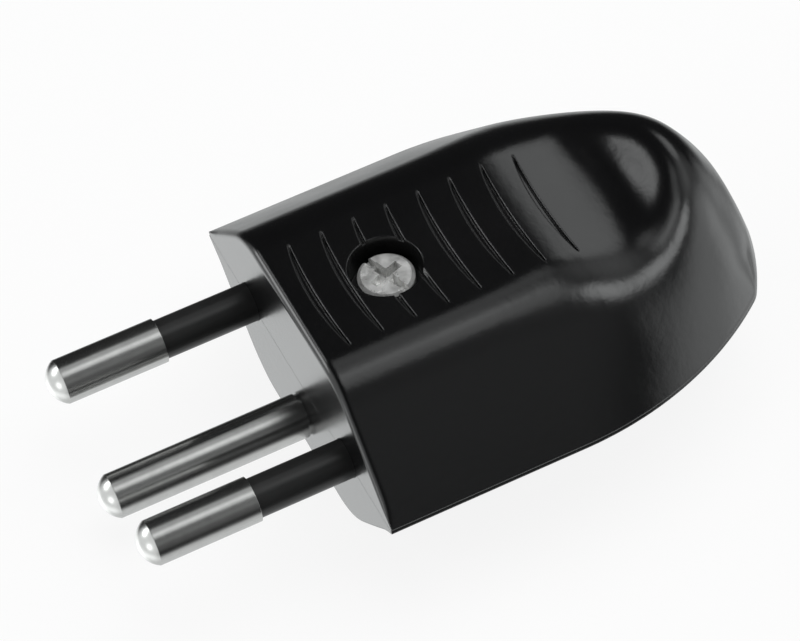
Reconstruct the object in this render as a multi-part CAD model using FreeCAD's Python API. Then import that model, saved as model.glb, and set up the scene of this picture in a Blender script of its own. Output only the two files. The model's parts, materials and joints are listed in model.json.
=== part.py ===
"""Rewireable three pin mains plug of type J: two black half shells, three pins and the wiring parts inside.

Millimetres. The origin is the centre of the front face, in the parting plane of the shells and on the line
of the line and neutral pins. +X runs across to the neutral pin, +Y from the pins to the cord end and +Z up
to the side with the housing screw.
"""
import FreeCAD, Part
import math
import os
from FreeCAD import Vector

# Pins
pin_spacing = 19.0  # line to neutral, centre to centre
earth_offset = 5.0  # earth pin below the line of the other two
pin_diameter = 4.0
pin_length = 19.0  # front face to tip
tip_height = 1.25  # domed end
sleeve_length = 8.6  # insulated stretch outside the front face
shank_diameter = 3.6  # pins inside the housing
root_relief = 0.25  # earth pin's shank starts this far in front of the face
sleeve_diameter = 3.5
sleeve_bore = 2.8

# Housing, both shells together
body_width = 36.2  # across the parting plane
body_height = 19.2  # over the flat grip faces
body_length = 41.3  # front face to the middle of the rear edge
front_wall = 5.0
wall = 2.2
grip_width = 17.6  # flat grip face, between the sharp corners under its rounded shoulders
root_share = 0.5  # share of the wall left outside the roots of inner features
seam_land = 0.3  # upright band beside the parting seam
seam_chamfer = 0.15
shoulder_radius = 3.0  # between the top face and the walls
grip_length = 18.0  # straight stretch behind the front face
thumb_reach = 10.0  # end of the straight stretch to the lowest point of the thumb saddle
thumb_depth = 1.7
bulb_setback = 7.0  # crest of the rear bulb ahead of the rear edge
bulb_rise = 0.15  # crest above the flat grip face
bulb_fall = 4.6  # drop of the top curve just behind the rear edge

# Plan curves of the housing at three heights: at the seam, half way up and above the top
middle_level = 5.0
upper_level = 11.0
side_radius = (33.0, 35.0, 60.0)
rear_radius = (20.0, 18.0, 14.0)
corner_radius = (3.0, 4.0, 5.0)
rear_lean = (20.0, 24.0)  # degrees from upright, below and above the middle level

# Grip grooves
groove_count = 8
groove_pitch = 3.0
groove_start = 3.0  # front face to the first groove's rear edge
groove_half_length = 5.7
groove_depth = 0.5
groove_width = 1.1

# Housing screw and its insert
screw_y = 9.0
screw_diameter = 3.4
screw_head_diameter = 4.9
screw_head_height = 2.0
screw_head_edge = 0.3
screw_sink = 1.0  # head below the grip face
recess_width = 0.8
recess_length = 3.0
recess_depth = 1.2
recess_turn = 20.0  # degrees that the driver left the screw at
counterbore_diameter = 6.4
boss_wall = 1.4
insert_diameter = 5.5
insert_length = 2.6

# Pin seats and terminals
collar_start = 2.0  # front face to the collar that locks a pin in the front wall
collar_width = 1.6
collar_diameter = 6.0
terminal_diameter = 6.0
terminal_length = 8.0
terminal_gap = 0.4  # front wall to the terminal
earth_head_width = 5.6
earth_head_height = 5.2
earth_head_length = 7.4
earth_head_room = 0.55  # under the ceiling of the wiring space
bridge_width = 8.8
bridge_length = 7.6
stop_thickness = 1.6
wire_bore = 2.7
wire_bore_depth = 6.0
terminal_screw_diameter = 3.0
terminal_screw_setback = 3.0  # from the open end of the terminal
slot_width = 0.6
slot_depth = 0.7
screw_headroom = 0.3  # contact screws to the sloping wall above them
earth_screw_proud = 1.0

# Cord clamp and inlet
cord_diameter = 6.4
inlet_diameter = 8.0
inlet_flare = 1.0
clamp_setback = 10.8  # ahead of the rear edge
clamp_width = 5.0
clamp_thickness = 1.5
clamp_screw_spacing = 12.9
clamp_screw_diameter = 2.6
clamp_head_diameter = 3.8
clamp_head_height = 1.3
clamp_screw_length = 6.5
clamp_hole_depth = 5.6
clamp_boss_diameter = 4.8
clamp_tab_margin = 2.05  # tab past the screw's axis
saddle_thickness = 2.0

# Clearances
slide_gap = 0.1  # loose fits, each side
press_gap = 0.02  # moulded, pressed and threaded fits, each side

# Worked out
half_width = body_width / 2
half_height = body_height / 2
facet = (half_height - seam_land) / (half_width - grip_width / 2)  # rise over run of the side facets
inset_side = wall / math.sin(math.atan(facet))
inset_rear = wall / math.cos(math.radians(rear_lean[0]))
pin_x = pin_spacing / 2
pin_radius = pin_diameter / 2
shank_radius = shank_diameter / 2
head_start = front_wall + terminal_gap
head_end = head_start + terminal_length
bridge_end = front_wall + bridge_length
earth_head_end = bridge_end + earth_head_length
earth_head_z = earth_head_room + earth_head_height / 2 + wall - half_height
clamp_y = body_length - clamp_setback
clamp_screw_x = clamp_screw_spacing / 2
head_seat = half_height - screw_sink - screw_head_height
cord_radius = cord_diameter / 2
beyond = 2.0  # overshoot of every cutting tool
near_zero = 0.01  # edges closer than this to a plane lie in it

X, Y, Z = Vector(1, 0, 0), Vector(0, 1, 0), Vector(0, 0, 1)


def block(x, y, z):
    """Box from three (low, high) pairs."""
    low = Vector(x[0], y[0], z[0])
    return Part.makeBox(x[1] - x[0], y[1] - y[0], z[1] - z[0], low)


def post(x, y, radius, bottom, top):
    """Upright cylinder."""
    return Part.makeCylinder(radius, top - bottom, Vector(x, y, bottom), Z)


def rod(x, z, radius, start, end):
    """Cylinder along Y."""
    return Part.makeCylinder(radius, end - start, Vector(x, start, z), Y)


def turned(profile, base, axis):
    """Solid of revolution from (radius, distance along the axis) corners."""
    side = X if axis == Y else Y
    points = [base + side * radius + axis * along for radius, along in profile]
    wire = Part.makePolygon(points + points[:1])
    return Part.Face(wire).revolve(base, axis, 360)


def arc(start, end, centre):
    """Shorter arc between two points about a centre."""
    radius = (start - centre).Length
    middle = (start + end) * 0.5 - centre
    middle.normalize()
    return Part.Arc(start, centre + middle * radius, end).toShape()


def flipped(shape):
    """Mirror image below the parting plane."""
    return shape.mirror(Vector(0, 0, 0), Z)


def level_sizes(height):
    """Half width and rear edge of the housing at a height above the seam's land."""
    climb = max(height - seam_land, 0)
    low = min(climb, middle_level - seam_land)
    high = climb - low
    lean_low, lean_high = (math.tan(math.radians(angle)) for angle in rear_lean)
    return half_width - climb / facet, body_length - low * lean_low - high * lean_high


def outline(level, height, side=0.0, rear=0.0, front=0.0, curved=True):
    """Plan outline at a height: straight sides, side arcs, rounded rear corners and a shallow rear arc.

    With curved off, straight lines join the ends and the middle of its arcs, for the wiring space.
    """
    width, tip = level_sizes(height)
    width, tip = width - side, tip - rear
    side_r, rear_r = side_radius[level] - side, rear_radius[level] - rear
    corner_r = corner_radius[level]
    bend = Vector(width, grip_length, height)
    side_c = bend - X * side_r
    rear_c = Vector(0, tip - rear_r, height)
    reach_side, reach_rear = side_r - corner_r, rear_r - corner_r
    between = rear_c - side_c
    span = between.Length
    along = (reach_side ** 2 - reach_rear ** 2 + span ** 2) / (2 * span)
    across = math.sqrt(reach_side ** 2 - along ** 2)
    unit = between * (1 / span)
    corner_c = side_c + unit * along + Vector(-unit.y, unit.x, 0) * across
    corner_in = side_c + (corner_c - side_c) * (side_r / reach_side)
    corner_out = rear_c + (corner_c - rear_c) * (rear_r / reach_rear)
    start = Vector(width, front, height)
    side_arc = arc(bend, corner_in, side_c)
    if not curved:
        right = [start, bend, side_arc.valueAt(side_arc.LastParameter / 2), corner_in, corner_out]
        left = [Vector(-point.x, point.y, height) for point in reversed(right)]
        return Part.makePolygon(right + left + [start])
    right = [Part.makeLine(start, bend), side_arc, arc(corner_in, corner_out, corner_c)]
    left = [edge.mirror(Vector(0, 0, 0), X) for edge in reversed(right)]
    opposite = Vector(-corner_out.x, corner_out.y, height)
    rear_arc = Part.Arc(corner_out, Vector(0, tip, height), opposite).toShape()
    closing = Part.makeLine(Vector(-width, front, height), start)
    return Part.Wire(Part.__sortEdges__(right + [rear_arc] + left + [closing]))


def top_form():
    """Everything below the top face: flat over the grip, then the thumb saddle and the rear bulb."""
    flat_end = Vector(0, grip_length, half_height)
    low = Vector(0, grip_length + thumb_reach, half_height - thumb_depth)
    crest = Vector(0, body_length - bulb_setback, half_height + bulb_rise)
    last = Vector(0, body_length + beyond, half_height - bulb_fall)
    curve = Part.BSplineCurve()
    curve.interpolate(Points=[flat_end, low, crest, last], InitialTangent=Y, FinalTangent=Y - Z)
    front_top = Vector(0, -beyond, half_height)
    front_low = Vector(0, -beyond, -beyond)
    rear_low = Vector(0, last.y, -beyond)
    edges = [Part.makeLine(front_top, flat_end), curve.toShape(), Part.makeLine(last, rear_low),
             Part.makeLine(rear_low, front_low), Part.makeLine(front_low, front_top)]
    profile = Part.Face(Part.Wire(edges))
    profile.translate(X * -body_width)
    return profile.extrude(X * 2 * body_width)


def shoulder_edges(body):
    """Edges between the top face and the walls, without the front edge and the seam across the top."""
    found = []
    for edge in body.Edges:
        box = edge.BoundBox
        across_grip = max(abs(box.YMin - grip_length), abs(box.YMax - grip_length)) < near_zero
        if box.ZMin > middle_level and box.YMax > near_zero and not across_grip:
            found.append(edge)
    return found


def half_space(point, outward):
    """All the space on the inner side of a plane."""
    reach = 3 * body_length
    return Part.makeCylinder(reach, reach, point, outward * -1)


def half_body():
    """Outside of one half of the housing, above the parting plane."""
    seam = outline(0, 0, seam_chamfer, seam_chamfer)
    chamfer = Part.makeLoft([seam, outline(0, seam_chamfer)], True, True)
    land = Part.makeLoft([outline(0, seam_chamfer), outline(0, seam_land)], True, True)
    heights = (seam_land, middle_level, upper_level)
    rims = [outline(level, height, front=-beyond) for level, height in enumerate(heights)]
    body = Part.makeLoft(rims, True).common(top_form()).common(half_space(Vector(0, 0, 0), Y * -1))
    body = body.makeFillet(shoulder_radius, shoulder_edges(body))
    return body.fuse([land, chamfer])


def half_cavity(share=1.0):
    """Wiring space of one half, inside the whole thickness of the wall or a share of it."""
    plan = outline(0, 0, inset_side * share, inset_rear * share, curved=False)
    rim = [vertex.Point for vertex in plan.Vertexes]
    slopes = [facet] * 4 + [1 / math.tan(math.radians(rear_lean[0]))] + [facet] * 4
    start, high = front_wall * share, half_height - wall * share
    low = high - thumb_depth
    ceiling = [(start, high), (grip_length, high), (grip_length + thumb_reach, low), (body_length, low)]
    corners = [(start, -beyond)] + ceiling + [(body_length, -beyond), (start, -beyond)]
    section = Part.Face(Part.makePolygon([Vector(-body_width, y, z) for y, z in corners]))
    cavity = section.extrude(X * 2 * body_width)
    for first, second, slope in zip(rim, rim[1:], slopes):
        outward = (second - first).cross(Z).normalize()
        cavity = cavity.common(half_space(first, outward * slope + Z))
    return cavity


def grip_cut(number):
    """Crescent groove of one grip step: upright rear wall and a floor that rises to the front."""
    rear = groove_start + number * groove_pitch
    disc = (groove_half_length ** 2 + groove_depth ** 2) / (2 * groove_depth)
    surface = Vector(0, rear, top_height(rear))
    profile = [(0, 0), (disc, 0), (disc - 2 * groove_depth, -2 * groove_width), (0, -2 * groove_width)]
    tool = turned(profile, surface + Z * (disc - groove_depth), Y)
    tool.rotate(surface, X, slope_at(rear))
    return tool


def top_height(y):
    """Height of the outside on the middle line."""
    line = Part.makeLine(Vector(0, y, 0), Vector(0, y, body_height))
    return line.common(top_form()).BoundBox.ZMax


def slope_at(y):
    """Slope of the outside on the middle line, in degrees."""
    step = groove_width / 2
    return math.degrees(math.atan2(top_height(y + step) - top_height(y - step), 2 * step))


def grips():
    """All grip grooves of one shell."""
    cuts = [grip_cut(number) for number in range(groove_count)]
    return cuts[0].fuse(cuts[1:])


def pin_seat(x):
    """Space for a line or neutral pin in the front wall, with the groove for its collar."""
    sleeve = sleeve_diameter / 2 + press_gap
    collar = collar_diameter / 2 + slide_gap
    shank = shank_radius + slide_gap
    first, second = collar_start, collar_start + collar_width
    profile = [(0, -beyond), (sleeve, -beyond), (sleeve, first), (collar, first), (collar, second),
               (shank, second), (shank, front_wall + beyond), (0, front_wall + beyond)]
    return turned(profile, Vector(x, 0, 0), Y)


def inlet():
    """Flared hole for the cord, half in each shell."""
    mouth = inlet_diameter / 2
    start, end = clamp_y + clamp_width, body_length + beyond
    profile = [(0, start), (mouth, start), (mouth, body_length - 2 * inlet_flare),
               (mouth + inlet_flare, body_length), (mouth + inlet_flare, end), (0, end)]
    return turned(profile, Vector(0, 0, 0), Y)


def shell_half(inside):
    """Hollow half with its pin seats, its inlet and the inner features given."""
    outside = half_body()
    seats = [pin_seat(side * pin_x) for side in (-1, 1)]
    hollow = outside.cut(half_cavity())
    return hollow.fuse(inside.common(half_cavity(root_share))).cut(seats + [inlet()])


def upper_shell():
    """Half with the housing screw's counterbore and boss."""
    boss = post(0, screw_y, counterbore_diameter / 2 + boss_wall, 0, body_height)
    half = shell_half(boss)
    bore = post(0, screw_y, screw_diameter / 2 + slide_gap, -beyond, body_height)
    counterbore = post(0, screw_y, counterbore_diameter / 2, head_seat, body_height)
    return half.cut([bore, counterbore, grips()])


def lower_shell():
    """Half with the bridge over the earth pin, the earth stops, the clamp bosses and the cord saddle.

    It is modelled upside down, on the upper side of the parting plane, and then flipped.
    """
    bridge = block((-bridge_width / 2, bridge_width / 2), (0, bridge_end), (0, body_height))
    stop_start = earth_head_end + slide_gap
    stop_y = (stop_start, stop_start + stop_thickness)
    stop_z = (-earth_head_z, body_height)
    stop_x = (wire_bore / 2 + slide_gap, bridge_width / 2)
    stops = [block(stop_x, stop_y, stop_z), block((-stop_x[1], -stop_x[0]), stop_y, stop_z)]
    boss = clamp_boss_diameter / 2
    bosses = [post(side * clamp_screw_x, clamp_y, boss, 0, body_height) for side in (-1, 1)]
    saddle_y = (clamp_y - saddle_thickness / 2, clamp_y + saddle_thickness / 2)
    saddle = block((-clamp_screw_x, clamp_screw_x), saddle_y, (0, body_height))
    saddle = saddle.cut(rod(0, 0, cord_radius, 0, body_length))
    half = shell_half(bridge.fuse(stops + bosses + [saddle]))
    earth_bore = rod(0, earth_offset, pin_radius + slide_gap, -beyond, bridge_end + beyond)
    pocket = post(0, screw_y, insert_diameter / 2 + press_gap, -beyond, insert_length)
    screw = clamp_screw_diameter / 2 + press_gap
    screws = [post(side * clamp_screw_x, clamp_y, screw, -beyond, clamp_hole_depth) for side in (-1, 1)]
    return flipped(half.cut([earth_bore, pocket, grips()] + screws))


def housing_insert():
    """Brass bush that takes the housing screw."""
    bush = post(0, screw_y, insert_diameter / 2, -insert_length, 0)
    return bush.cut(post(0, screw_y, screw_diameter / 2 + press_gap, -body_height, body_height))


def housing_screw():
    """Screw with a cylindrical head, a driver slot and a cross recess."""
    top = head_seat + screw_head_height
    shank = post(0, screw_y, screw_diameter / 2, -insert_length, head_seat)
    head = post(0, screw_y, screw_head_diameter / 2, head_seat, top)
    head = head.makeChamfer(screw_head_edge, [edge for edge in head.Edges if edge.BoundBox.ZMin > head_seat])
    slot_y = (screw_y - slot_width / 2, screw_y + slot_width / 2)
    slot = block((-screw_head_diameter, screw_head_diameter), slot_y, (top - slot_depth, top + beyond))
    arm, reach = recess_width / 2, recess_length / 2
    recess_z = (top - recess_depth, top + beyond)
    tools = [slot, block((-reach, reach), (screw_y - arm, screw_y + arm), recess_z),
             block((-arm, arm), (screw_y - reach, screw_y + reach), recess_z)]
    for tool in tools:
        tool.rotate(Vector(0, screw_y, 0), Z, recess_turn)
    return shank.fuse(head).cut(tools)


def pin_tip(x, z):
    """Domed end of a pin."""
    ball = (pin_radius ** 2 + tip_height ** 2) / (2 * tip_height)
    cap = Part.makeSphere(ball, Vector(x, ball - pin_length, z))
    return cap.common(rod(x, z, pin_radius, -pin_length, tip_height - pin_length))


def contact_pin(x):
    """Line or neutral pin: domed metal end, thin stretch under the sleeve, collar and terminal."""
    neck = sleeve_bore / 2
    collar, collar_end = collar_diameter / 2, collar_start + collar_width
    head = terminal_diameter / 2
    tip_start = tip_height - pin_length
    profile = [(0, tip_start), (pin_radius, tip_start), (pin_radius, -sleeve_length),
               (neck, -sleeve_length), (neck, collar_start), (collar, collar_start), (collar, collar_end),
               (shank_radius, collar_end), (shank_radius, head_start), (head, head_start), (head, head_end),
               (0, head_end)]
    body = turned(profile, Vector(x, 0, 0), Y).fuse(pin_tip(x, 0))
    bore = rod(x, 0, wire_bore / 2, head_end - wire_bore_depth, head_end + beyond)
    thread_radius = terminal_screw_diameter / 2 + press_gap
    thread = post(x, head_end - terminal_screw_setback, thread_radius, 0, body_height)
    return body.cut([bore, thread])


def pin_sleeve(x):
    """Insulating sleeve between the pin's step and its collar."""
    inner = sleeve_bore / 2 + press_gap
    outer = rod(x, 0, sleeve_diameter / 2, -sleeve_length, collar_start)
    return outer.cut(rod(x, 0, inner, -sleeve_length - beyond, collar_start + beyond))


def earth_pin():
    """Plain pin that runs under the bridge to a square terminal head."""
    contact = rod(0, -earth_offset, pin_radius, tip_height - pin_length, -root_relief)
    shank = rod(0, -earth_offset, shank_radius, -root_relief, bridge_end)
    head = block((-earth_head_width / 2, earth_head_width / 2), (bridge_end, earth_head_end),
                 (earth_head_z - earth_head_height / 2, earth_head_z + earth_head_height / 2))
    body = contact.fuse([shank, pin_tip(0, -earth_offset), head])
    bore = rod(0, earth_head_z, wire_bore / 2, earth_head_end - wire_bore_depth, earth_head_end + beyond)
    thread = post(0, earth_head_end - terminal_screw_setback, terminal_screw_diameter / 2 + press_gap,
                  earth_head_z, body_height)
    return body.cut([bore, thread])


def terminal_screw(x, end, axis_z, top):
    """Headless slotted screw that clamps a wire in a terminal's bore."""
    y = end - terminal_screw_setback
    body = post(x, y, terminal_screw_diameter / 2, axis_z + slide_gap, top)
    slot_x = (x - terminal_screw_diameter, x + terminal_screw_diameter)
    slot_y = (y - slot_width / 2, y + slot_width / 2)
    return body.cut(block(slot_x, slot_y, (top - slot_depth, top + beyond)))


def cord_clamp():
    """Bar that arches over the cord, with a flat tab for a screw at each end."""
    reach = clamp_screw_x + clamp_tab_margin
    across = (clamp_y - clamp_width / 2, clamp_y + clamp_width / 2)
    tabs = block((-reach, reach), across, (0, clamp_thickness))
    arch = rod(0, 0, cord_radius + clamp_thickness, *across)
    below = block((-body_width, body_width), across, (-body_height, 0))
    channel = rod(0, 0, cord_radius, across[0] - beyond, across[1] + beyond)
    holes = [post(side * clamp_screw_x, clamp_y, clamp_screw_diameter / 2 + slide_gap, -beyond, body_height)
             for side in (-1, 1)]
    return tabs.fuse(arch).cut([below, channel] + holes)


def cord_clamp_screw(side):
    """Pan head screw of the cord clamp."""
    x, head_top = side * clamp_screw_x, clamp_thickness + clamp_head_height
    shank = post(x, clamp_y, clamp_screw_diameter / 2, clamp_thickness - clamp_screw_length, clamp_thickness)
    head = post(x, clamp_y, clamp_head_diameter / 2, clamp_thickness, head_top)
    slot_x = (x - clamp_head_diameter, x + clamp_head_diameter)
    slot_y = (clamp_y - slot_width / 2, clamp_y + slot_width / 2)
    return shank.fuse(head).cut(block(slot_x, slot_y, (head_top - slot_depth, head_top + beyond)))


contact_screw_top = (half_width - inset_side - pin_x - terminal_screw_diameter / 2) * facet - screw_headroom
earth_screw_top = earth_head_z + earth_head_height / 2 + earth_screw_proud
pieces = {
    "lower_shell": lower_shell(),
    "upper_shell": upper_shell(),
    "housing_insert": housing_insert(),
    "housing_screw": housing_screw(),
    "earth_pin": earth_pin(),
    "earth_terminal_screw": terminal_screw(0, earth_head_end, earth_head_z, earth_screw_top),
    "cord_clamp": cord_clamp(),
}
for name, side in (("line", -1), ("neutral", 1)):
    pieces[name + "_pin"] = contact_pin(side * pin_x)
    pieces[name + "_pin_sleeve"] = pin_sleeve(side * pin_x)
    pieces[name + "_terminal_screw"] = terminal_screw(side * pin_x, head_end, 0, contact_screw_top)
for name, side in (("left", -1), ("right", 1)):
    pieces["cord_clamp_screw_" + name] = cord_clamp_screw(side)

os.makedirs("parts", exist_ok=True)
for name, shape in pieces.items():
    shape = shape.removeSplitter()
    print(name, "valid", shape.isValid(), "solids", len(shape.Solids), "volume", round(shape.Volume, 2))
    shape.exportStep("parts/" + name + ".step")
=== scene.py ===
"""Looks of the type J plug: camera at the photograph's angle, studio light and the finish of every piece."""
import json
import math
import bmesh
import bpy
import numpy as np
from mathutils import Matrix, Vector


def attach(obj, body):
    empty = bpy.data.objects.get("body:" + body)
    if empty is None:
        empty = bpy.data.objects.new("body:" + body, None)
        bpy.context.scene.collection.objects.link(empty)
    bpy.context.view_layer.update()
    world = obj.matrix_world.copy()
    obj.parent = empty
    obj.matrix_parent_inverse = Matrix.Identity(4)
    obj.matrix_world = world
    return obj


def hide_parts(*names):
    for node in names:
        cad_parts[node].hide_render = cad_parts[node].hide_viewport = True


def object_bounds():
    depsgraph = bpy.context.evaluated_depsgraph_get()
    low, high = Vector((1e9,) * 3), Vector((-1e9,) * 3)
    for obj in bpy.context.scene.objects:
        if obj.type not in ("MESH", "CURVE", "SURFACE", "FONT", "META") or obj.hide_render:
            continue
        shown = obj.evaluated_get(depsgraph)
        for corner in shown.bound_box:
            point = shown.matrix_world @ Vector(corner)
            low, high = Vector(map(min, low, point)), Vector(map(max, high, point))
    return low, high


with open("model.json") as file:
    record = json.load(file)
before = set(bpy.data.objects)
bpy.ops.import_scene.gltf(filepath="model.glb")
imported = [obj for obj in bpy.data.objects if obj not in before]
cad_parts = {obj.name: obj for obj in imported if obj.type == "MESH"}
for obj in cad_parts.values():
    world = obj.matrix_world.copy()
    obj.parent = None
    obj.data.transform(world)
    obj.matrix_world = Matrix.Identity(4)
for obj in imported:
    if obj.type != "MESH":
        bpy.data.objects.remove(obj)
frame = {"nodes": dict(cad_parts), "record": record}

cad_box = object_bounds()
nodes = frame["nodes"]
MM = 0.001

# Camera, fitted to the pins and grooves in the photograph
CAMERA_AIM = Vector((0.115, 9.737, 2.0)) * MM
CAMERA_DISTANCE = 341.3 * MM
CAMERA_AZIMUTH = 68.87
CAMERA_ELEVATION = 51.53
CAMERA_ROLL = -6.38
CAMERA_LENS = 181.95

# Floor in metres and key light in millimetres
FLOOR_SIZE = 6.0
FLOOR_WHITE = 0.88  # share of the camera's view of the floor that is plain white
KEY_AIM = Vector((0, 22, 8))
KEY_DIRECTION = Vector((-0.2, 0.3, 0.93)).normalized()
KEY_DISTANCE, KEY_SIZE, KEY_RADIANCE = 900, 900, 2.4

# Studio: dark, pale in front and below, with soft panels
STUDIO_DARK, STUDIO_FRONT, STUDIO_BELOW = 0.02, 0.9, 0.70
STUDIO_TINT = (0.98, 1.0, 1.0, 1)
FRONT_FADE = (-0.80, -0.35)  # along Y
BELOW_FADE = (-0.30, -0.70)  # along Z
# Panels as direction, full and fading angle in degrees, and radiance
PANELS = (((-0.58, 0.60, 0.56), 2, 15, 1.15),
          ((-0.15, 0.65, 0.75), 4, 22, 0.40),
          ((-0.59, -0.37, 0.72), 0, 8.5, 2.3),
          ((0.34, 0.56, 0.755), 3, 12, 2.9),
          ((-0.30, 0.22, 0.93), 0, 12.4, 0.60),
          ((0.00, 0.22, 0.97), 0, 12.4, 0.75),
          ((0.22, 0.23, 0.95), 0, 15, 1.00),
          ((0.42, 0.90, 0.08), 6, 36, 1.25),
          ((-0.10, 0.85, 0.45), 8, 30, 0.36),
          ((0.66, 0.24, 0.71), 4, 26, 0.13),
          ((0.92, 0.12, 0.36), 4, 30, 0.08),
          ((-0.56, -0.74, 0.37), 6, 16, 3.0),
          ((0.26, -0.95, 0.06), 4, 16, 1.5),
          ((-0.55, -0.45, -0.70), 12, 30, 0.75),
          ((0.00, 0.95, -0.30), 8, 34, 0.9))

# Form of the shells in millimetres, near the sizes of the part's source
HALF_WIDTH, HALF_HEIGHT, BODY_LENGTH, GRIP_LENGTH = 18.1, 9.6, 41.299, 18.0
SEAM_LAND, SEAM_CHAMFER, FRONT_EDGE = 0.3, 0.15, 0.7
SIDE_RADIUS, REAR_RADIUS, CORNER_RADIUS = 31.8, 20.0, 3.0
SADDLE_START, SADDLE_Y, SADDLE_DEPTH = 20.0, 30.7, 1.75
CREST_Y, CREST_RISE, CREST_RADIUS = 35.3, 0.55, 13.0
BULB_ROUND, BULB_DOME = 24.0, 0.019  # curve of the bulb's front in plan, and of its crest across
FACET_STEEPER, STEEP_START = 0.31, 18.0  # side facets stand up towards the rear
FACET_CROWN = 0.08  # the same facets bulge a little
GROOVE_COUNT, GROOVE_PITCH, GROOVE_HALF, GROOVE_DEPTH = 8, 3.0, 6.1, 0.32
GROOVE_WIDTH, GROOVE_LEAST = 0.62, 0.14  # in the middle and at the tips
GROOVE_BOW, GROOVE_WALL = 0.3, 0.2  # bow of the rear edge, and share of the width that a wall takes
GROOVE_TIP = 0.7  # length over which the tips run out
SHOULDER_FRONT, SHOULDER_REAR = 2.2, 4.2  # reach of the rounding, as a difference in height
SHOULDER_CHANGE = (14.0, 32.0)  # where the one goes over into the other
REAR_ROUND, REAR_LEAST, ROUND_RISE = 4.8, 0.02, 3.0  # the rear's rounding grows over this rise from the seam
SOFTNESS = 2.9  # reach of the blending towards the rear
SOFT_Y, SOFT_Z = (20.0, 31.0), (1.0, 7.0)  # where it sets in, along and up
SOFT_RINGS, SOFT_TURNS = ((0.5, 0.8), (1.0, 0.4)), 12  # share of its reach and weight, and points on a ring
EDGE_RISE = 2.0  # the front edge's rounding grows over this rise from the seam
REAR_RISE, REAR_RUN = 23.0, 6.45  # rear wall: steep at the seam, flatter above
FOOT_GAP = 0.02  # the foot of the seam's chamfer ends this far ahead of it at the rear

# Rows and columns of the shells' outside
FRONT_ROWS = (0.0, 0.02, 0.06, 0.12, 0.2, 0.32, 0.48, 0.7)
AHEAD_ROWS = (2.1, 1.8, 1.5)  # ahead of a groove's rear edge
GROOVE_ROWS = (1.5, 1.3, 1.1, 1.0, 0.95, 0.9, 0.85, 0.8, 0.65, 0.5, 0.35, 0.2,
               0.15, 0.1, 0.05, 0.0, -0.1, -0.3)  # shares of its width, from its rear edge
BEHIND_ROWS = ((0.1, 0.12), (0.25, 0.06), (0.5, 0.0))  # behind its rear edge, with their bow
NO_GROOVE = 9.0  # share of a row outside the grooves
ROW_STEP, REAR_START, REAR_ROWS = 0.35, 36.5, 46
GRIP_SHARE, GRIP_COLUMNS, SIDE_COLUMNS = 0.66, 78, 15

# Inside of the shells in millimetres, near the part's source; the lower shell is made upside down
CEILING = ((5.0, -2.0), (5.0, 7.4), (18.0, 7.4), (28.0, 5.7), (41.3, 5.7), (41.3, -2.0))
CAVITY_RIM = ((14.99, 0.0), (14.99, 18.0), (13.365, 27.717), (8.671, 36.378), (7.595, 37.242))
SIDE_SLOPE, REAR_SLOPE = 1.0, 2.747
SIDEWAYS = 0.3  # walls that face more to the side than this have the side's slope
BELOW, INSIDE, ABOVE = -2, 8, 12  # overshoot under the parting plane, past the ceiling and past the top
PIN_X, EARTH_Z, EARTH_BORE, EARTH_DEPTH = 9.5, 5, 1.83, 14
PIN_SEAT = ((1.77, -2), (1.77, 2), (3.1, 2), (3.1, 3.6), (1.9, 3.6), (1.9, 7))
MOUTH = ((4.0, 35.5), (4.0, 39.3), (5.0, 41.3), (5.0, 43.3))
SCREW_Y, SCREW_BORE, COUNTERBORE, HEAD_SEAT, BOSS = 9, 1.8, 3.2, 6.6, 4.6
INSERT_RADIUS, INSERT_DEPTH = 2.77, 2.6
BRIDGE_HALF, BRIDGE_Y = 4.4, (2, 12.6)
STOP_X, STOP_HALF, STOP_Y, STOP_LOW = 2.925, 1.475, (20.1, 21.7), 4.25
CLAMP_X, CLAMP_Y, CLAMP_BOSS, CLAMP_HOLE, CLAMP_DEPTH = 6.45, 30.5, 2.4, 1.32, 5.6
CORD_RADIUS, CORD_RUN, SADDLE_HALF = 3.2, (20, 40), 1.0
LATHE_STEPS = 64
SHARP_ANGLE = math.radians(32)
FLAT_FACE = 0.9999  # faces turned this closely to the front are shaded flat

# Finishes, with lengths in metres
NOISE_ROUGHNESS = 0.55
FRONT_BAND, FRONT_ROUGH = (0.0003, 0.0001), 0.26  # band along Y where the front turns matt


def add_camera():
    """Camera that looks at the aim point from the photograph's side."""
    azimuth, elevation = math.radians(CAMERA_AZIMUTH), math.radians(CAMERA_ELEVATION)
    back = Vector((math.sin(azimuth) * math.cos(elevation), -math.cos(azimuth) * math.cos(elevation),
                   math.sin(elevation)))
    data = bpy.data.cameras.new("camera")
    data.lens = CAMERA_LENS
    data.clip_start = 0.01
    data.clip_end = 20.0
    camera = bpy.data.objects.new("camera", data)
    turn = back.to_track_quat("Z", "Y").to_matrix().to_4x4()
    roll = Matrix.Rotation(math.radians(CAMERA_ROLL), 4, "Z")
    camera.matrix_world = Matrix.Translation(CAMERA_AIM + back * CAMERA_DISTANCE) @ turn @ roll
    bpy.context.scene.collection.objects.link(camera)
    bpy.context.scene.camera = camera


def new_material(name):
    """Material with its node tree and its principled shader."""
    material = bpy.data.materials.new(name)
    material.use_nodes = True
    tree = material.node_tree
    shader = tree.nodes["Principled BSDF"]
    return material, tree, shader


def add_node(tree, kind, **values):
    """Node with its inputs or settings given by name."""
    node = tree.nodes.new(kind)
    for name, value in values.items():
        key = name.replace("_", " ")
        if key in node.inputs:
            node.inputs[key].default_value = value
        else:
            setattr(node, name, value)
    return node


def noise(tree, scale, detail):
    """Noise in the object's own coordinates."""
    place = add_node(tree, "ShaderNodeTexCoord")
    node = add_node(tree, "ShaderNodeTexNoise", Scale=scale, Detail=detail, Roughness=NOISE_ROUGHNESS)
    tree.links.new(place.outputs["Object"], node.inputs["Vector"])
    return node


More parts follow.
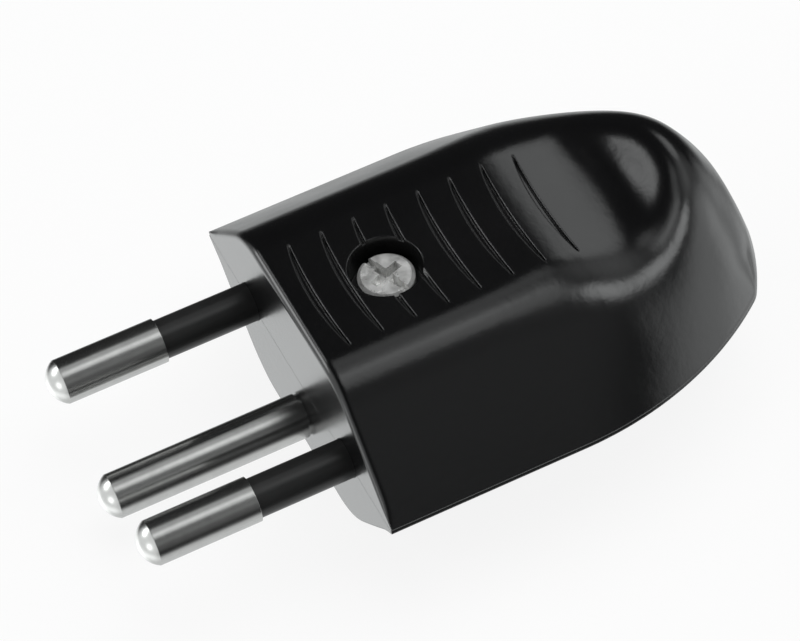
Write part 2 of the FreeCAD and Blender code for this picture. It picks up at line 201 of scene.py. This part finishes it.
def ramp(tree, source, low, high):
    """Maps a 0 to 1 value to a range."""
    node = add_node(tree, "ShaderNodeMapRange")
    node.inputs["To Min"].default_value = low
    node.inputs["To Max"].default_value = high
    tree.links.new(source, node.inputs["Value"])
    return node.outputs["Result"]


def math_node(tree, operation, first, second):
    """Result of a math node on two values, each a number or an output."""
    node = add_node(tree, "ShaderNodeMath", operation=operation)
    for socket, value in zip(node.inputs, (first, second)):
        if isinstance(value, (int, float)):
            socket.default_value = value
        else:
            tree.links.new(value, socket)
    return node.outputs[0]


def fade(tree, source, start, end, low, high):
    """Smooth passage from one value to another while the source goes from start to end."""
    node = add_node(tree, "ShaderNodeMapRange", interpolation_type="SMOOTHSTEP")
    for name, value in (("From Min", start), ("From Max", end), ("To Min", low), ("To Max", high)):
        node.inputs[name].default_value = value
    tree.links.new(source, node.inputs["Value"])
    return node.outputs["Result"]


def bump(tree, shader, height, strength, distance, edge):
    """Fine relief over edges that are rounded by the given radius."""
    soft = add_node(tree, "ShaderNodeBevel", samples=6, Radius=edge)
    node = add_node(tree, "ShaderNodeBump", Strength=strength, Distance=distance)
    tree.links.new(soft.outputs["Normal"], node.inputs["Normal"])
    tree.links.new(height, node.inputs["Height"])
    tree.links.new(node.outputs["Normal"], shader.inputs["Normal"])


def tint(tree, shader, source, low, high):
    """Base colour that wanders between two colours."""
    node = add_node(tree, "ShaderNodeMix", data_type="RGBA")
    ends = [socket for socket in node.inputs if socket.type == "RGBA"]
    ends[0].default_value, ends[1].default_value = (*low, 1), (*high, 1)
    colour = next(socket for socket in node.outputs if socket.type == "RGBA")
    tree.links.new(source, node.inputs[0])
    tree.links.new(colour, shader.inputs["Base Color"])


def black_plastic():
    """Glossy black thermoset with a faint orange peel, matt on the front face."""
    material, tree, shader = new_material("black_plastic")
    shader.inputs["IOR"].default_value = 1.55
    shader.inputs["Specular IOR Level"].default_value = 0.7
    peel = noise(tree, scale=1300.0, detail=2.0)
    haze = noise(tree, scale=160.0, detail=3.0)
    tint(tree, shader, haze.outputs["Fac"], (0.0030, 0.0030, 0.0033), (0.0042, 0.0042, 0.0045))
    place = add_node(tree, "ShaderNodeTexCoord")
    split = add_node(tree, "ShaderNodeSeparateXYZ")
    tree.links.new(place.outputs["Object"], split.inputs["Vector"])
    front = fade(tree, split.outputs["Y"], *FRONT_BAND, low=0.0, high=FRONT_ROUGH)
    gloss = ramp(tree, haze.outputs["Fac"], low=0.15, high=0.24)
    tree.links.new(math_node(tree, "MAXIMUM", gloss, front), shader.inputs["Roughness"])
    bump(tree, shader, peel.outputs["Fac"], strength=0.25, distance=0.00005, edge=0.00018)
    return material


def plated_metal(name, low, high, rough, metallic=1.0, relief=0.03):
    """Turned, plated metal with a little unevenness in colour, gloss and relief."""
    material, tree, shader = new_material(name)
    shader.inputs["Metallic"].default_value = metallic
    haze = noise(tree, scale=420.0, detail=4.0)
    tree.links.new(ramp(tree, haze.outputs["Fac"], *rough), shader.inputs["Roughness"])
    grain = noise(tree, scale=800.0, detail=2.0)
    contrast = ramp(tree, grain.outputs["Fac"], low=-0.7, high=1.7)
    tint(tree, shader, contrast, low, high)
    bump(tree, shader, grain.outputs["Fac"], relief, distance=0.00015, edge=0.00006)
    return material


def satin_black(name, level):
    """Satin black moulding."""
    material, tree, shader = new_material(name)
    haze = noise(tree, scale=700.0, detail=3.0)
    tint(tree, shader, haze.outputs["Fac"], (level * 0.8,) * 3, (level * 1.2,) * 3)
    tree.links.new(ramp(tree, haze.outputs["Fac"], low=0.24, high=0.36), shader.inputs["Roughness"])
    bump(tree, shader, haze.outputs["Fac"], strength=0.1, distance=0.00004, edge=0.00008)
    return material


def floor_material():
    """Pale floor, close to white for the camera, with a soft shadow."""
    material, tree, shader = new_material("pale_floor")
    shader.inputs["Base Color"].default_value = (0.85, 0.85, 0.85, 1)
    shader.inputs["Roughness"].default_value = 0.9
    glow = add_node(tree, "ShaderNodeEmission")
    path = add_node(tree, "ShaderNodeLightPath")
    white = math_node(tree, "MULTIPLY", path.outputs["Is Camera Ray"], FLOOR_WHITE)
    mix = add_node(tree, "ShaderNodeMixShader")
    tree.links.new(white, mix.inputs[0])
    tree.links.new(shader.outputs[0], mix.inputs[1])
    tree.links.new(glow.outputs[0], mix.inputs[2])
    tree.links.new(mix.outputs[0], tree.nodes["Material Output"].inputs["Surface"])
    return material


def add_floor():
    """Large pale floor under the plug; what gloss shows of it is the studio's pale lower side."""
    bpy.ops.mesh.primitive_plane_add(size=FLOOR_SIZE, location=(0, 0, cad_box[0][2]))
    floor = bpy.context.object
    floor.name = "floor"
    floor.visible_glossy = False
    floor.data.materials.append(floor_material())


def add_key_light():
    """Large softbox overhead for the colours and the shadow; gloss shows the studio's panels instead."""
    data = bpy.data.lights.new("key", "AREA")
    data.shape = "RECTANGLE"
    data.size = data.size_y = KEY_SIZE * MM
    data.energy = KEY_RADIANCE * math.pi * data.size * data.size_y
    lamp = bpy.data.objects.new("key", data)
    lamp.location = (KEY_AIM + KEY_DIRECTION * KEY_DISTANCE) * MM
    lamp.rotation_euler = KEY_DIRECTION.to_track_quat("Z", "Y").to_euler()
    lamp.visible_glossy = False
    bpy.context.scene.collection.objects.link(lamp)


def add_world():
    """Dark studio, pale in front and below, with soft panels."""
    world = bpy.data.worlds.new("studio")
    bpy.context.scene.world = world
    world.use_nodes = True
    tree = world.node_tree
    place = add_node(tree, "ShaderNodeTexCoord")
    split = add_node(tree, "ShaderNodeSeparateXYZ")
    tree.links.new(place.outputs["Generated"], split.inputs["Vector"])
    total = fade(tree, split.outputs["Y"], *FRONT_FADE, STUDIO_FRONT, STUDIO_DARK)
    total = math_node(tree, "ADD", total, fade(tree, split.outputs["Z"], *BELOW_FADE, 0.0, STUDIO_BELOW))
    for direction, inner, outer, radiance in PANELS:
        facing = add_node(tree, "ShaderNodeVectorMath", operation="DOT_PRODUCT")
        tree.links.new(place.outputs["Generated"], facing.inputs[0])
        facing.inputs[1].default_value = Vector(direction).normalized()
        edge, middle = math.cos(math.radians(outer)), math.cos(math.radians(inner))
        panel = fade(tree, facing.outputs["Value"], edge, middle, 0.0, radiance)
        total = math_node(tree, "ADD", total, panel)
    tree.links.new(total, tree.nodes["Background"].inputs["Strength"])
    tree.nodes["Background"].inputs["Color"].default_value = STUDIO_TINT


def smooth_step(value, low, high):
    """0 below low, 1 above high and an S between."""
    t = np.clip((value - low) / (high - low), 0.0, 1.0)
    return t * t * (3 - 2 * t)


def smooth_min(first, second, reach):
    """Lower of two heights, with their meeting rounded."""
    near = np.maximum(reach - np.abs(first - second), 0.0)
    return np.minimum(first, second) - near * near / (4 * reach)


def rear_corner():
    """Centre of the rear corner's arc and the places along Y where it starts and ends."""
    side = np.array((HALF_WIDTH - SIDE_RADIUS, GRIP_LENGTH))
    rear = np.array((0.0, BODY_LENGTH - REAR_RADIUS))
    reach_side, reach_rear = SIDE_RADIUS - CORNER_RADIUS, REAR_RADIUS - CORNER_RADIUS
    span = np.linalg.norm(rear - side)
    along = (reach_side ** 2 - reach_rear ** 2 + span ** 2) / (2 * span)
    unit = (rear - side) / span
    centre = side + unit * along + np.array((-unit[1], unit[0])) * math.sqrt(reach_side ** 2 - along ** 2)
    start = side + (centre - side) * SIDE_RADIUS / reach_side
    end = rear + (centre - rear) * REAR_RADIUS / reach_rear
    return centre, start[1], end[1]


def side_width(y):
    """Half width of the straight sides and their arcs at the seam."""
    return HALF_WIDTH - SIDE_RADIUS + np.sqrt(SIDE_RADIUS ** 2 - np.maximum(y - GRIP_LENGTH, 0.0) ** 2)


def seam_width(y):
    """Half width of the whole outline at the seam."""
    centre, start, end = rear_corner()
    corner = centre[0] + np.sqrt(np.maximum(CORNER_RADIUS ** 2 - (y - centre[1]) ** 2, 0.0))
    rear = np.sqrt(np.maximum(REAR_RADIUS ** 2 - (y - BODY_LENGTH + REAR_RADIUS) ** 2, 0.0))
    return np.where(y < start, side_width(y), np.where(y < end, corner, rear))


def top_profile(x, y):
    """Flat grip, thumb saddle and domed rear bulb."""
    back = y + x ** 2 / BULB_ROUND
    fall = (1 - np.cos(np.pi * np.clip((y - SADDLE_START) / (SADDLE_Y - SADDLE_START), 0.0, 1.0))) / 2
    rise = (1 - np.cos(np.pi * np.clip((back - SADDLE_Y) / (CREST_Y - SADDLE_Y), 0.0, 1.0))) / 2
    bulb = CREST_RISE - np.maximum(back - CREST_Y, 0.0) ** 2 / (2 * CREST_RADIUS) - BULB_DOME * x ** 2
    return HALF_HEIGHT - SADDLE_DEPTH * fall + (SADDLE_DEPTH + bulb) * rise


def moulded_form(x, y):
    """Height of the top, the side facets and the rear wall, with their meetings rounded."""
    steep = 1 + FACET_STEEPER * smooth_step(y, STEEP_START, CREST_Y)
    run = side_width(y) - np.abs(x)
    facet = SEAM_LAND + run * steep + FACET_CROWN * run * (1 - run / HALF_HEIGHT)
    aside = np.minimum(np.abs(x), REAR_RADIUS)
    inward = BODY_LENGTH - REAR_RADIUS + np.sqrt(REAR_RADIUS ** 2 - aside ** 2) - y
    rear = SEAM_LAND + REAR_RISE * (1 - np.exp(-np.maximum(inward, 0.0) / REAR_RUN))
    reach = SHOULDER_FRONT + (SHOULDER_REAR - SHOULDER_FRONT) * smooth_step(y, *SHOULDER_CHANGE)
    body = smooth_min(top_profile(x, y), facet, reach)
    above = np.minimum(body, rear) - SEAM_LAND
    return smooth_min(body, rear, np.clip(REAR_ROUND * above / ROUND_RISE, REAR_LEAST, REAR_ROUND))


def shell_height(x, y):
    """Height over the parting plane: the form softened towards the rear, with a rounded front edge."""
    body = moulded_form(x, y)
    blur = SOFTNESS * smooth_step(y, *SOFT_Y) * smooth_step(body, *SOFT_Z)
    total, weights = body.copy(), 1.0
    for ring, weight in SOFT_RINGS:
        for turn in np.arange(SOFT_TURNS) * math.pi / (SOFT_TURNS / 2):
            total += weight * moulded_form(x + blur * ring * math.cos(turn), y + blur * ring * math.sin(turn))
            weights += weight
    body = total / weights
    edge = np.maximum(FRONT_EDGE - y, 0.0)
    edge = FRONT_EDGE - np.sqrt(np.maximum(FRONT_EDGE ** 2 - edge ** 2, 0.0))
    body = body - edge * np.clip((body - SEAM_LAND) / EDGE_RISE, 0.0, 1.0)
    return np.maximum(body, SEAM_LAND)


def shell_rows():
    """Rows along Y: place, bow to the front in the middle, and share of a groove's width."""
    rows = [(y, 0.0, NO_GROOVE) for y in FRONT_ROWS]
    for number in range(GROOVE_COUNT):
        rear = GROOVE_PITCH * (number + 1)
        rows += [(rear - step, 0.0, NO_GROOVE) for step in AHEAD_ROWS]
        for share in GROOVE_ROWS:
            bow = GROOVE_BOW + share * (GROOVE_WIDTH - GROOVE_LEAST)
            rows.append((rear - share * GROOVE_LEAST, bow, share))
        rows += [(rear + step, bow, NO_GROOVE) for step, bow in BEHIND_ROWS]
    rows += [(y, 0.0, NO_GROOVE) for y in np.arange(rows[-1][0] + ROW_STEP, REAR_START, ROW_STEP)]
    start = rows[-1][0]
    turn = np.linspace(0, math.pi / 2, REAR_ROWS)[1:-1]
    rows += [(start + (BODY_LENGTH - start) * share, 0.0, NO_GROOVE) for share in np.sin(turn)]
    return np.array(rows).T


def shell_columns():
    """Places across, as shares of the seam's half width: close together over the grip and the shoulders."""
    inner = np.linspace(0.0, GRIP_SHARE, GRIP_COLUMNS)
    outer = np.linspace(GRIP_SHARE, 1.0, SIDE_COLUMNS)[1:]
    half = np.concatenate((inner, outer))
    return np.concatenate((-half[:0:-1], half))


def mesh_object(name, work):
    """Object from a bmesh in millimetres."""
    bmesh.ops.recalc_face_normals(work, faces=work.faces)
    bmesh.ops.scale(work, vec=(MM, MM, MM), verts=work.verts)
    mesh = bpy.data.meshes.new(name)
    work.to_mesh(mesh)
    work.free()
    piece = bpy.data.objects.new(name, mesh)
    bpy.context.scene.collection.objects.link(piece)
    return piece


def shell_block(name):
    """Solid half of the housing: formed outside, land and chamfer at the seam, flat front and foot."""
    (rows, bows, shares), columns = shell_rows(), shell_columns()
    x = seam_width(rows)[:, None] * columns[None, :]
    y = rows[:, None] - bows[:, None] * np.maximum(1 - (x / GROOVE_HALF) ** 2, 0.0)
    wall = smooth_step(shares, 0.0, GROOVE_WALL) * smooth_step(1 - shares, 0.0, GROOVE_WALL)
    tip = smooth_step(GROOVE_HALF - np.abs(x), 0.0, GROOVE_TIP)
    z = shell_height(x, y) - GROOVE_DEPTH * wall[:, None] * tip
    z[:, 0] = z[:, -1] = z[-1, :] = SEAM_LAND
    work = bmesh.new()
    grid = [[work.verts.new(point) for point in row] for row in np.stack((x, y, z), axis=-1)]
    for near, far in zip(grid, grid[1:]):
        for j in range(len(columns) - 1):
            work.faces.new((near[j], near[j + 1], far[j + 1], far[j]))
    rim = [row[-1] for row in grid] + grid[-1][-2:0:-1] + [row[0] for row in reversed(grid)]
    land = [work.verts.new((v.co.x, v.co.y, SEAM_CHAMFER)) for v in rim]
    shrink = 1 - SEAM_CHAMFER / HALF_WIDTH
    last = BODY_LENGTH - SEAM_CHAMFER - FOOT_GAP
    foot = [work.verts.new((v.co.x * shrink, min(v.co.y, last), 0.0)) for v in rim]
    for upper, lower in ((rim, land), (land, foot)):
        for a, b, c, d in zip(upper, upper[1:], lower[1:], lower):
            work.faces.new((a, d, c, b))
    work.faces.new(grid[0] + [land[0], foot[0], foot[-1], land[-1]])
    work.faces.new(foot)
    return mesh_object(name, work)


def hollow_tool():
    """Wiring space of one half: a ceiling that follows the saddle, cut back by the sloping walls."""
    work = bmesh.new()
    left = [work.verts.new((-BODY_LENGTH, y, z)) for y, z in CEILING]
    right = [work.verts.new((BODY_LENGTH, y, z)) for y, z in CEILING]
    work.faces.new(left)
    work.faces.new(right)
    for i in range(len(CEILING)):
        j = (i + 1) % len(CEILING)
        work.faces.new((left[i], left[j], right[j], right[i]))
    rim = [Vector((x, y, 0)) for x, y in CAVITY_RIM]
    rim += [Vector((-point.x, point.y, 0)) for point in reversed(rim)]
    for first, second in zip(rim, rim[1:]):
        outward = (second - first).cross(Vector((0, 0, 1))).normalized()
        slope = SIDE_SLOPE if abs(outward.x) > SIDEWAYS else REAR_SLOPE
        cut = bmesh.ops.bisect_plane(work, geom=work.verts[:] + work.edges[:] + work.faces[:], plane_co=first,
                                     plane_no=outward * slope + Vector((0, 0, 1)), clear_outer=True)
        edges = [item for item in cut["geom_cut"] if isinstance(item, bmesh.types.BMEdge)]
        bmesh.ops.contextual_create(work, geom=edges)
    return mesh_object("hollow", work)


def lathe(profile, base, axis):
    """Turned tool from (radius, distance along the axis) corners."""
    work = bmesh.new()
    rings = []
    for radius, along in profile:
        ring = []
        for number in range(LATHE_STEPS):
            turn = 2 * math.pi * (number + 0.5) / LATHE_STEPS
            a, b = radius * math.cos(turn), radius * math.sin(turn)
            offset = Vector((a, along, b)) if axis == "Y" else Vector((a, b, along))
            ring.append(work.verts.new(Vector(base) + offset))
        rings.append(ring)
    for lower, upper in zip(rings, rings[1:]):
        for i in range(LATHE_STEPS):
            j = (i + 1) % LATHE_STEPS
            work.faces.new((lower[i], lower[j], upper[j], upper[i]))
    work.faces.new(rings[0])
    work.faces.new(rings[-1])
    return mesh_object("turned", work)


def post(x, y, radius, low, high):
    """Upright round tool."""
    return lathe([(radius, low), (radius, high)], (x, y, 0), "Z")


def block(low, high):
    """Square tool between two corners."""
    work = bmesh.new()
    bmesh.ops.create_cube(work, size=1.0)
    for vert in work.verts:
        vert.co = Vector(high[i] if vert.co[i] > 0 else low[i] for i in range(3))
    return mesh_object("block", work)


def combine(piece, tool, operation):
    """Applies one boolean and drops its tool."""
    step = piece.modifiers.new("step", "BOOLEAN")
    step.operation, step.solver, step.object = operation, "EXACT", tool
    graph = bpy.context.evaluated_depsgraph_get()
    result = bpy.data.meshes.new_from_object(piece.evaluated_get(graph))
    piece.modifiers.clear()
    old, piece.data = piece.data, result
    bpy.data.meshes.remove(old)
    bpy.data.meshes.remove(tool.data)


def pin_seat(x):
    """Sleeve hole, collar groove and shank hole in the front wall."""
    return lathe(PIN_SEAT, (x, 0, 0), "Y")


def add_shell(name, node, solids, holes, upside_down):
    """One half of the housing, hollow, with the solids left standing inside and the holes cut through."""
    space = hollow_tool()
    for tool in solids:
        combine(space, tool, "DIFFERENCE")
    mouth = lathe(MOUTH, (0, 0, 0), "Y")
    for tool in [pin_seat(-PIN_X), pin_seat(PIN_X), mouth] + holes:
        combine(space, tool, "UNION")
    piece = shell_block(name)
    combine(piece, space, "DIFFERENCE")
    mesh = piece.data
    if upside_down:
        mesh.transform(Matrix.Scale(-1, 4, (0, 0, 1)))
        mesh.flip_normals()
    mesh.shade_smooth()
    mesh.set_sharp_from_angle(angle=SHARP_ANGLE)
    for face in mesh.polygons:
        if face.normal.y < -FLAT_FACE:
            face.use_smooth = False
    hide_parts(node)
    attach(piece, "root")
    return piece


def add_shells():
    """Both halves, each with what stands and what is cut inside it."""
    boss = post(0, SCREW_Y, BOSS, BELOW, INSIDE)
    upper_holes = [post(0, SCREW_Y, SCREW_BORE, BELOW, ABOVE)]
    upper_holes.append(post(0, SCREW_Y, COUNTERBORE, HEAD_SEAT, ABOVE))
    upper = add_shell("upper_half", "upper_shell", [boss], upper_holes, False)
    bridge = block((-BRIDGE_HALF, BRIDGE_Y[0], BELOW), (BRIDGE_HALF, BRIDGE_Y[1], INSIDE))
    stops = [block((side - STOP_HALF, STOP_Y[0], STOP_LOW), (side + STOP_HALF, STOP_Y[1], INSIDE))
             for side in (-STOP_X, STOP_X)]
    bosses = [post(side, CLAMP_Y, CLAMP_BOSS, BELOW, INSIDE) for side in (-CLAMP_X, CLAMP_X)]
    saddle = block((-CLAMP_X, CLAMP_Y - SADDLE_HALF, BELOW), (CLAMP_X, CLAMP_Y + SADDLE_HALF, INSIDE))
    combine(saddle, lathe([(CORD_RADIUS, place) for place in CORD_RUN], (0, 0, 0), "Y"), "DIFFERENCE")
    earth = lathe([(EARTH_BORE, BELOW), (EARTH_BORE, EARTH_DEPTH)], (0, 0, EARTH_Z), "Y")
    lower_holes = [earth, post(0, SCREW_Y, INSERT_RADIUS, BELOW, INSERT_DEPTH)]
    lower_holes += [post(side, CLAMP_Y, CLAMP_HOLE, BELOW, CLAMP_DEPTH) for side in (-CLAMP_X, CLAMP_X)]
    lower = add_shell("lower_half", "lower_shell", [bridge] + stops + bosses + [saddle], lower_holes, True)
    return upper, lower


def dress():
    """Gives every node its finish."""
    black = black_plastic()
    nickel = plated_metal("nickel", (0.63, 0.63, 0.62), (0.68, 0.68, 0.67), rough=(0.20, 0.29))
    zinc = plated_metal("zinc", (0.50, 0.50, 0.49), (1.0, 1.0, 0.99), rough=(0.2, 0.36),
                        metallic=0.6, relief=1.0)
    brass = plated_metal("brass", (0.66, 0.46, 0.20), (0.74, 0.54, 0.24), rough=(0.18, 0.3))
    sleeve = satin_black("sleeve_black", 0.018)
    clamp = satin_black("clamp_black", 0.02)
    finish = {"shell_black": black, "pin_nickel": nickel, "sleeve_black": sleeve, "screw_zinc": zinc,
              "insert_brass": brass, "clamp_black": clamp}
    for entry in frame["record"]["subparts"]:
        mesh = nodes[entry["node"]].data
        mesh.materials.clear()
        mesh.materials.append(finish[entry["material_slot"]])
    for piece in add_shells():
        piece.data.materials.clear()
        piece.data.materials.append(black)


add_camera()
add_world()
add_floor()
add_key_light()
dress()

bpy.context.scene.view_settings.view_transform = "Standard"
